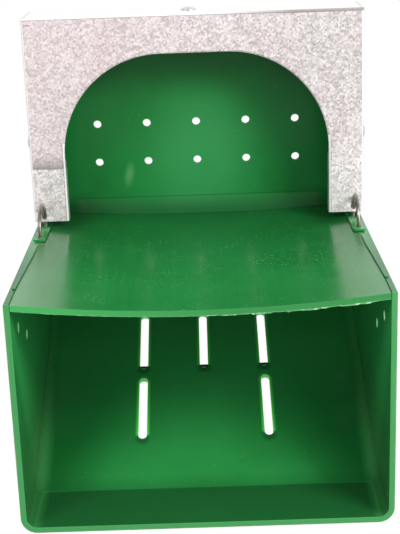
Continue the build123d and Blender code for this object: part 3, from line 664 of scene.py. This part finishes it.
# Pressed aluminium is pale and satin, in clouds of 1.4 mm. Snapped steel is dark and dull, in clouds
# of 1.1 mm.
rivet_finish = plain_metal("plain_aluminium", "C9C9C8", "F0F0EE", low=0.22, high=0.38, scale=700.0)
pin_finish = plain_metal("snapped_steel", "4A4744", "7A7672", low=0.4, high=0.6, scale=900.0)
for place_name in ("top", "left", "right"):
    wear(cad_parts["rivet_" + place_name], rivet_finish)
    wear(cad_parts["mandrel_" + place_name], pin_finish)


# --- Wire rings ---------------------------------------------------------------------------------
# Two rings of zinc-plated steel wire, 3.4 mm thick, bent shut through the frame's legs and the
# bin's tabs. Nothing else joins the bin to the frame.

# Plated wire: the zinc has tarnished grey-brown, in clouds of 4 mm.
ring_finish = plain_metal(
    "tarnished_zinc_plated_wire", "7B716A", "C4BBB3", low=0.25, high=0.45, scale=260.0
)
for side in ("left", "right"):
    wear(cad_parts["ring_" + side], ring_finish)


# --- Studio -------------------------------------------------------------------------------------
# A white card and backdrop, an even light all round, and soft lamps in front: the one on the right
# is the strongest, with a low one beyond it, and the one on the left is weaker.
FLOOR_Z = -0.62
CARD_SIZE = 8.0
CARD_FRONT_Y = -0.45
SEEN_BY = ("Is Camera Ray", "Is Glossy Ray", "Is Transmission Ray")
LIGHT_PATH = "ShaderNodeLightPath"


def white_card(name):
    """White card: plain white to the camera and in reflections, lit by the lamps otherwise."""
    finish, tree, surface = new_finish(name)
    surface.inputs["Base Color"].default_value = colour("F4F4F4")
    surface.inputs["Roughness"].default_value = 0.9
    seen = [add(tree, LIGHT_PATH, out=kind) for kind in SEEN_BY]
    seen_by = add(tree, MATH, LARGER, i0=add(tree, MATH, LARGER, i0=seen[0], i1=seen[1]), i1=seen[2])
    white = add(tree, "ShaderNodeEmission", Color=(1, 1, 1, 1), Strength=1.0)
    card_or_white = add(tree, "ShaderNodeMixShader", i0=seen_by, i1=surface.outputs[0], i2=white)
    tree.links.new(card_or_white, tree.nodes["Material Output"].inputs["Surface"])
    return finish


card = bpy.data.meshes.new("floor")
bm = bmesh.new()
bmesh.ops.create_grid(bm, x_segments=1, y_segments=1, size=CARD_SIZE / 2)
bmesh.ops.translate(bm, verts=bm.verts, vec=(0, CARD_FRONT_Y + CARD_SIZE / 2, FLOOR_Z))
bm.to_mesh(card)
bm.free()
floor = bpy.data.objects.new("floor", card)
bpy.context.scene.collection.objects.link(floor)
wear(floor, white_card("white_card"))

# The air is white to the camera and behind the object, and dimmer in front for reflections.
world = bpy.data.worlds.new("studio_world")
bpy.context.scene.world = world
world.use_nodes = True
air = world.node_tree
bearing_y = add(air, SPLIT, out="Y", Vector=add(air, COORDS))
room = add(air, RAMP, Value=bearing_y, From_Min=-0.15, From_Max=0.35, To_Min=0.18, To_Max=1.0)
even = add(air, RAMP, Value=bearing_y, From_Min=-1.0, From_Max=1.0, To_Min=1.05, To_Max=0.6)
lit = add(air, MIX, FLOAT, i0=add(air, LIGHT_PATH, out="Is Diffuse Ray"), i2=room, i3=even)
level = add(air, MATH, LARGER, i0=add(air, LIGHT_PATH, out="Is Camera Ray"), i1=lit)
air.nodes["Background"].inputs["Color"].default_value = (1, 1, 1, 1)
air.links.new(level, air.nodes["Background"].inputs["Strength"])

LAMP_DISTANCE = 1.2
LAMPS_FACE = Vector((0, -0.15, -0.06))


def softbox(name, bearing, height, size, watts):
    """A square lamp that faces the object, from a bearing right of the front and a height angle."""
    lamp = bpy.data.lights.new(name, "AREA")
    lamp.shape = "SQUARE"
    lamp.size = size
    lamp.energy = watts
    holder = bpy.data.objects.new(name, lamp)
    bpy.context.scene.collection.objects.link(holder)
    turn, rise = math.radians(bearing), math.radians(height)
    away = Vector((
        math.sin(turn) * math.cos(rise), -math.cos(turn) * math.cos(rise), math.sin(rise)
    ))
    holder.location = LAMPS_FACE + LAMP_DISTANCE * away
    holder.rotation_euler = away.to_track_quat("Z", "Y").to_euler()
    holder.visible_camera = False


softbox("lamp_right", bearing=44, height=33, size=0.35, watts=8.5)
softbox("lamp_left", bearing=-44, height=33, size=0.35, watts=3.8)
softbox("lamp_low_right", bearing=62, height=8, size=0.5, watts=3.2)

# The camera stands where the photograph was taken from: 0.9 m in front of the bin's rim, looking
# down by 17.6 degrees and rolled by 2 degrees.
CAMERA_PLACE = (0.00681, -1.18182, 0.24635)
CAMERA_YAW, CAMERA_PITCH, CAMERA_ROLL = -0.385, 17.583, -2.006
PHOTO_HEIGHT_PX = 534
FOCAL_PX = 1252.5
yaw, pitch, roll = math.radians(CAMERA_YAW), math.radians(CAMERA_PITCH), math.radians(CAMERA_ROLL)
ahead = Vector((
    math.sin(yaw) * math.cos(pitch), math.cos(yaw) * math.cos(pitch), -math.sin(pitch)
))
level_right = Vector((math.cos(yaw), -math.sin(yaw), 0))
level_up = level_right.cross(ahead)
right = math.cos(roll) * level_right + math.sin(roll) * level_up
up = -math.sin(roll) * level_right + math.cos(roll) * level_up
lens = bpy.data.cameras.new("camera")
lens.sensor_fit = "VERTICAL"
lens.sensor_height = 24.0
lens.lens = FOCAL_PX / PHOTO_HEIGHT_PX * lens.sensor_height
camera = bpy.data.objects.new("camera", lens)
bpy.context.scene.collection.objects.link(camera)
turn = Matrix((right, up, -ahead)).transposed()
camera.matrix_world = Matrix.Translation(CAMERA_PLACE) @ turn.to_4x4()
bpy.context.scene.camera = camera
bpy.context.scene.view_settings.view_transform = "Standard"
